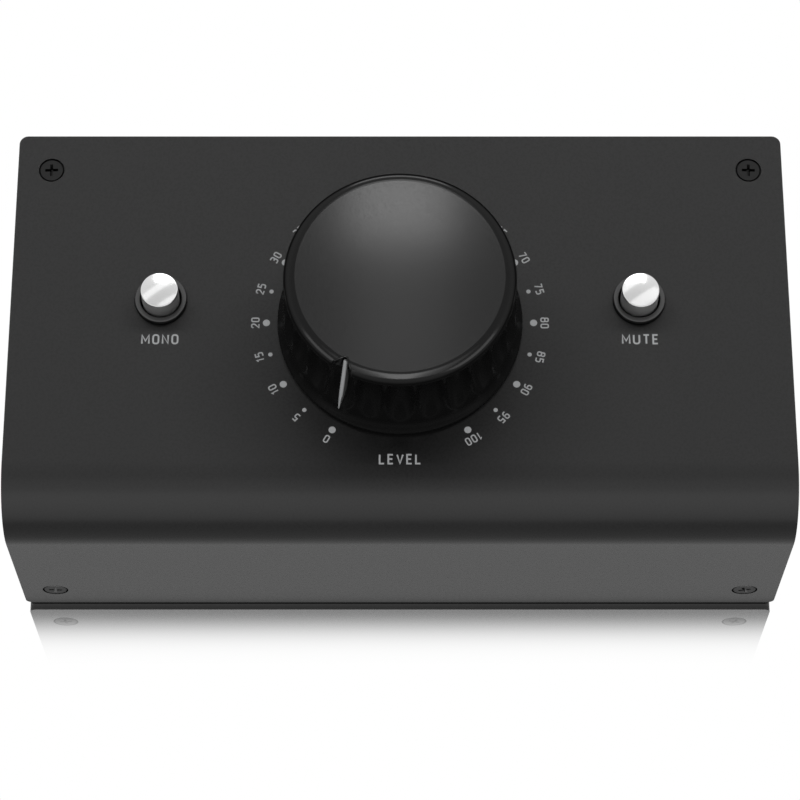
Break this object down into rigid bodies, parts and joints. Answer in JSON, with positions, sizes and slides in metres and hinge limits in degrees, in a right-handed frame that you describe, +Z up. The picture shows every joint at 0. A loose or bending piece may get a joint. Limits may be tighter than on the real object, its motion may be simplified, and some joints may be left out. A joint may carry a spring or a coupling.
{
  "type": "studio monitor controller",
  "caption": "Low desktop metal box with a rounded front edge, a large fluted level knob between two push buttons, and audio sockets at the back.",
  "frame": {"origin": "centre of the box's footprint, on the surface that it stands on", "axes": "+Z up, +Y towards the sockets, +X to the right of a person who faces the front"},
  "size_m": [0.148, 0.0835, 0.0694],
  "materials": {
    "cover_paint": "fine satin powder coat",
    "tray_steel": "satin black coat",
    "panel_paint": "satin black coat",
    "mat_rubber": "matte",
    "black_screws": "black zinc, satin",
    "bright_steel": "zinc plated",
    "standoff_brass": "turned",
    "board_laminate": "solder mask",
    "resistor_body": "glazed",
    "ribbon_grey": "flexible vinyl",
    "black_plastic": "moulded",
    "white_plastic": "moulded",
    "nickel_plate": "nickel plated",
    "tinned_pins": "tinned",
    "shaft_aluminium": "turned",
    "knob_plastic": "fine spark-eroded texture",
    "insert_brass": "turned",
    "pointer_plastic": "moulded",
    "bezel_anodised": "black anodised, satin",
    "cap_chrome": "polished",
    "socket_black": "die cast, black",
    "contact_gold": "gold plated"
  },
  "bodies": {
    "enclosure": {"aux_jack_case": "black_plastic", "aux_jack_leads": "tinned_pins", "aux_jack_nut": "nickel_plate", "base_mat": "mat_rubber", "board_screws": "bright_steel", "board_standoffs": "standoff_brass", "chassis_tray": "tray_steel", "connector_board": "board_laminate", "control_board": "board_laminate", "cover_screws_front": "black_screws", "cover_screws_top": "black_screws", "left_input_contacts": "contact_gold", "left_input_insert": "black_plastic", "left_input_shell": "socket_black", "left_output_pins": "contact_gold", "left_output_shell": "socket_black", "mono_bezel": "bezel_anodised", "mono_spring": "bright_steel", "mono_switch_case": "black_plastic", "mono_switch_pins": "tinned_pins", "mute_bezel": "bezel_anodised", "mute_spring": "bright_steel", "mute_switch_case": "black_plastic", "mute_switch_pins": "tinned_pins", "potentiometer_bushing": "nickel_plate", "potentiometer_case": "bright_steel", "potentiometer_nut": "nickel_plate", "potentiometer_pins": "tinned_pins", "potentiometer_washer": "nickel_plate", "rear_panel": "panel_paint", "rear_panel_screws": "black_screws", "ribbon_cable": "ribbon_grey", "ribbon_headers": "black_plastic", "ribbon_plugs": "black_plastic", "right_input_contacts": "contact_gold", "right_input_insert": "black_plastic", "right_input_shell": "socket_black", "right_output_pins": "contact_gold", "right_output_shell": "socket_black", "socket_screws": "black_screws", "summing_resistors": "resistor_body", "top_cover": "cover_paint"},
    "knob": {"level_knob": "knob_plastic", "knob_insert": "insert_brass", "knob_pointer": "pointer_plastic", "potentiometer_shaft": "shaft_aluminium", "potentiometer_rotor": "white_plastic"},
    "mono_button": {"mono_cap": "cap_chrome", "mono_plunger": "white_plastic"},
    "mute_button": {"mute_cap": "cap_chrome", "mute_plunger": "white_plastic"}
  },
  "joints": [
    {"name": "level_turn", "type": "hinge", "parent": "enclosure", "child": "knob", "pos_m": [0, 0.0002, 0.0474], "axis": [0, 0, 1], "range_deg": [-300, 0]},
    {"name": "mono_press", "type": "slide", "parent": "enclosure", "child": "mono_button", "axis": [0, 0, -1], "range_m": [0, 0.0025], "stiffness_N_per_m": 400, "springref_m": -0.002, "deforming": ["mono_spring"]},
    {"name": "mute_press", "type": "slide", "parent": "enclosure", "child": "mute_button", "axis": [0, 0, -1], "range_m": [0, 0.0025], "stiffness_N_per_m": 400, "springref_m": -0.002, "deforming": ["mute_spring"]}
  ]
}
